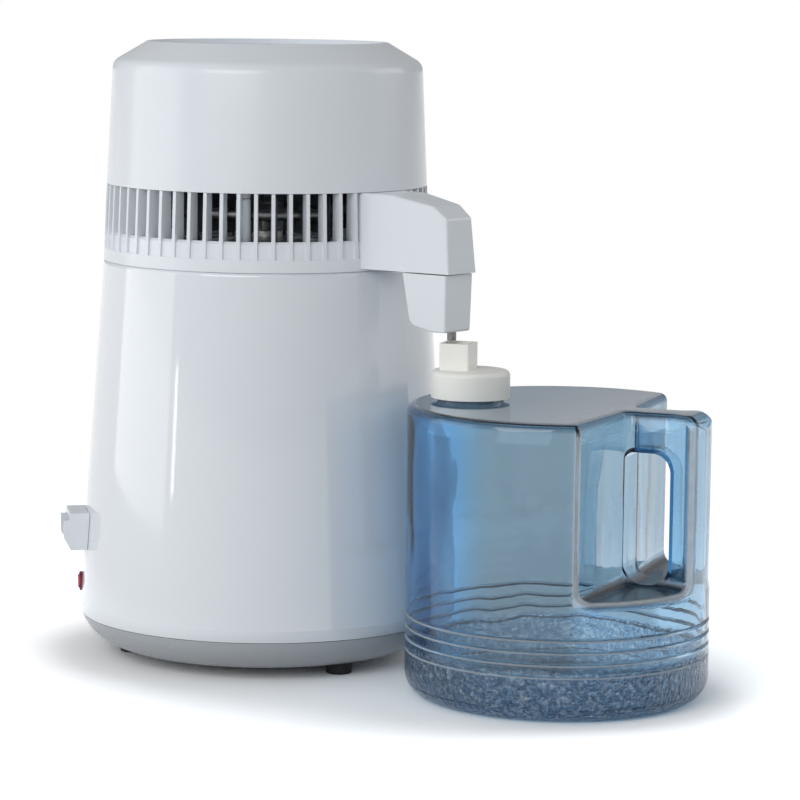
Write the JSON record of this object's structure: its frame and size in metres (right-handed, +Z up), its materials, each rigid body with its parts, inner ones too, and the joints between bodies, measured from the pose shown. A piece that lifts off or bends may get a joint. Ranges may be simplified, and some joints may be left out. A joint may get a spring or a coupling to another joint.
{
  "type": "countertop water distiller",
  "caption": "White boiler with lift-off condenser head, spout arm, vent ring and internal fan, dripping into a blue clear carafe with moulded-in handle and white cap.",
  "frame": {"origin": "on the counter, under the centre of the whole set's outline", "axes": "+Z up; +X from the boiler's axis to the carafe's axis; the spout arm and the cap lie a little to the -Y side, and the power inlet faces -X and -Y"},
  "size_m": [0.4164, 0.23, 0.378],
  "materials": {
    "enamelled_steel": "gloss white enamel",
    "pan_plastic": "gloss moulded, light grey",
    "white_plastic": "gloss moulded",
    "cap_plastic": "satin moulded",
    "carafe_plastic": "clear blue tinted, glossy",
    "stainless": "satin stainless",
    "fasteners": "zinc plated",
    "cast_aluminium": "mill finish",
    "motor_steel": "laminated, bare",
    "heater_sheath": "dark annealed sheath",
    "winding_tape": "yellow tape over the winding",
    "fan_plastic": "semi matte moulded",
    "black_rubber": "matte",
    "silicone": "translucent white, matte",
    "thermal_parts": "phenolic",
    "button_trim": "dark red",
    "button_red": "red",
    "brass_pins": "bare",
    "lead_sleeve": "silicone sleeved wire",
    "charcoal_cloth": "white non-woven cloth"
  },
  "bodies": {
    "boiler": {"boiler_casing": "enamelled_steel", "base_pan": "pan_plastic", "rubber_feet": "black_rubber", "base_screws": "fasteners", "boiling_tank": "stainless", "tank_base": "stainless", "heater_plate": "cast_aluminium", "heater_element": "heater_sheath", "heater_clamp": "stainless", "clamp_nut": "fasteners", "working_thermostat": "thermal_parts", "boil_dry_thermostat": "thermal_parts", "thermal_fuse": "thermal_parts", "fuse_strap": "stainless", "power_inlet": "white_plastic", "inlet_pins": "brass_pins", "button_bezel": "button_trim", "overheat_cutout": "thermal_parts", "cutout_bracket": "stainless", "terminal_block": "thermal_parts", "inner_leads": "lead_sleeve", "lead_terminals": "brass_pins"},
    "button": {"reset_button": "button_red"},
    "head": {"vent_ring": "white_plastic", "outlet_nose": "white_plastic", "outlet_nozzle": "stainless", "steam_dome": "stainless", "head_gasket": "silicone", "steam_bush": "silicone", "condenser_coil": "stainless", "cooling_fins": "cast_aluminium", "top_cover": "white_plastic", "intake_grille": "white_plastic", "head_screws": "fasteners", "motor_stack": "motor_steel", "motor_winding": "winding_tape", "lower_bearing": "motor_steel", "upper_bearing": "motor_steel", "motor_bar": "stainless", "motor_bolts": "fasteners", "motor_nuts": "fasteners", "bar_screws": "fasteners"},
    "fan": {"motor_rotor": "motor_steel", "cooling_fan": "fan_plastic"},
    "carafe": {"carafe_body": "carafe_plastic"},
    "cap": {"carafe_cap": "cap_plastic", "cap_seal": "silicone", "filter_cup": "cap_plastic", "charcoal_sachet": "charcoal_cloth"}
  },
  "joints": [
    {"name": "reset_press", "type": "slide", "parent": "boiler", "child": "button", "axis": [0.7314, 0.682, 0], "range_m": [0, 0.0025], "stiffness_N_per_m": 400, "springref_m": -0.002},
    {"name": "head_lift", "type": "slide", "parent": "boiler", "child": "head", "axis": [0, 0, 1], "range_m": [0, 0.16]},
    {"name": "fan_spin", "type": "hinge", "parent": "head", "child": "fan", "pos_m": [-0.09325, 0, 0.342], "axis": [0, 0, 1], "continuous": true},
    {"name": "carafe_slide", "type": "slide", "parent": "boiler", "child": "carafe", "axis": [1, 0, 0], "range_m": [0, 0.15]},
    {"name": "cap_turn", "type": "hinge", "parent": "carafe", "child": "cap", "pos_m": [0.06915, -0.02004, 0.18], "axis": [0, 0, 1], "range_deg": [0, 180]}
  ]
}
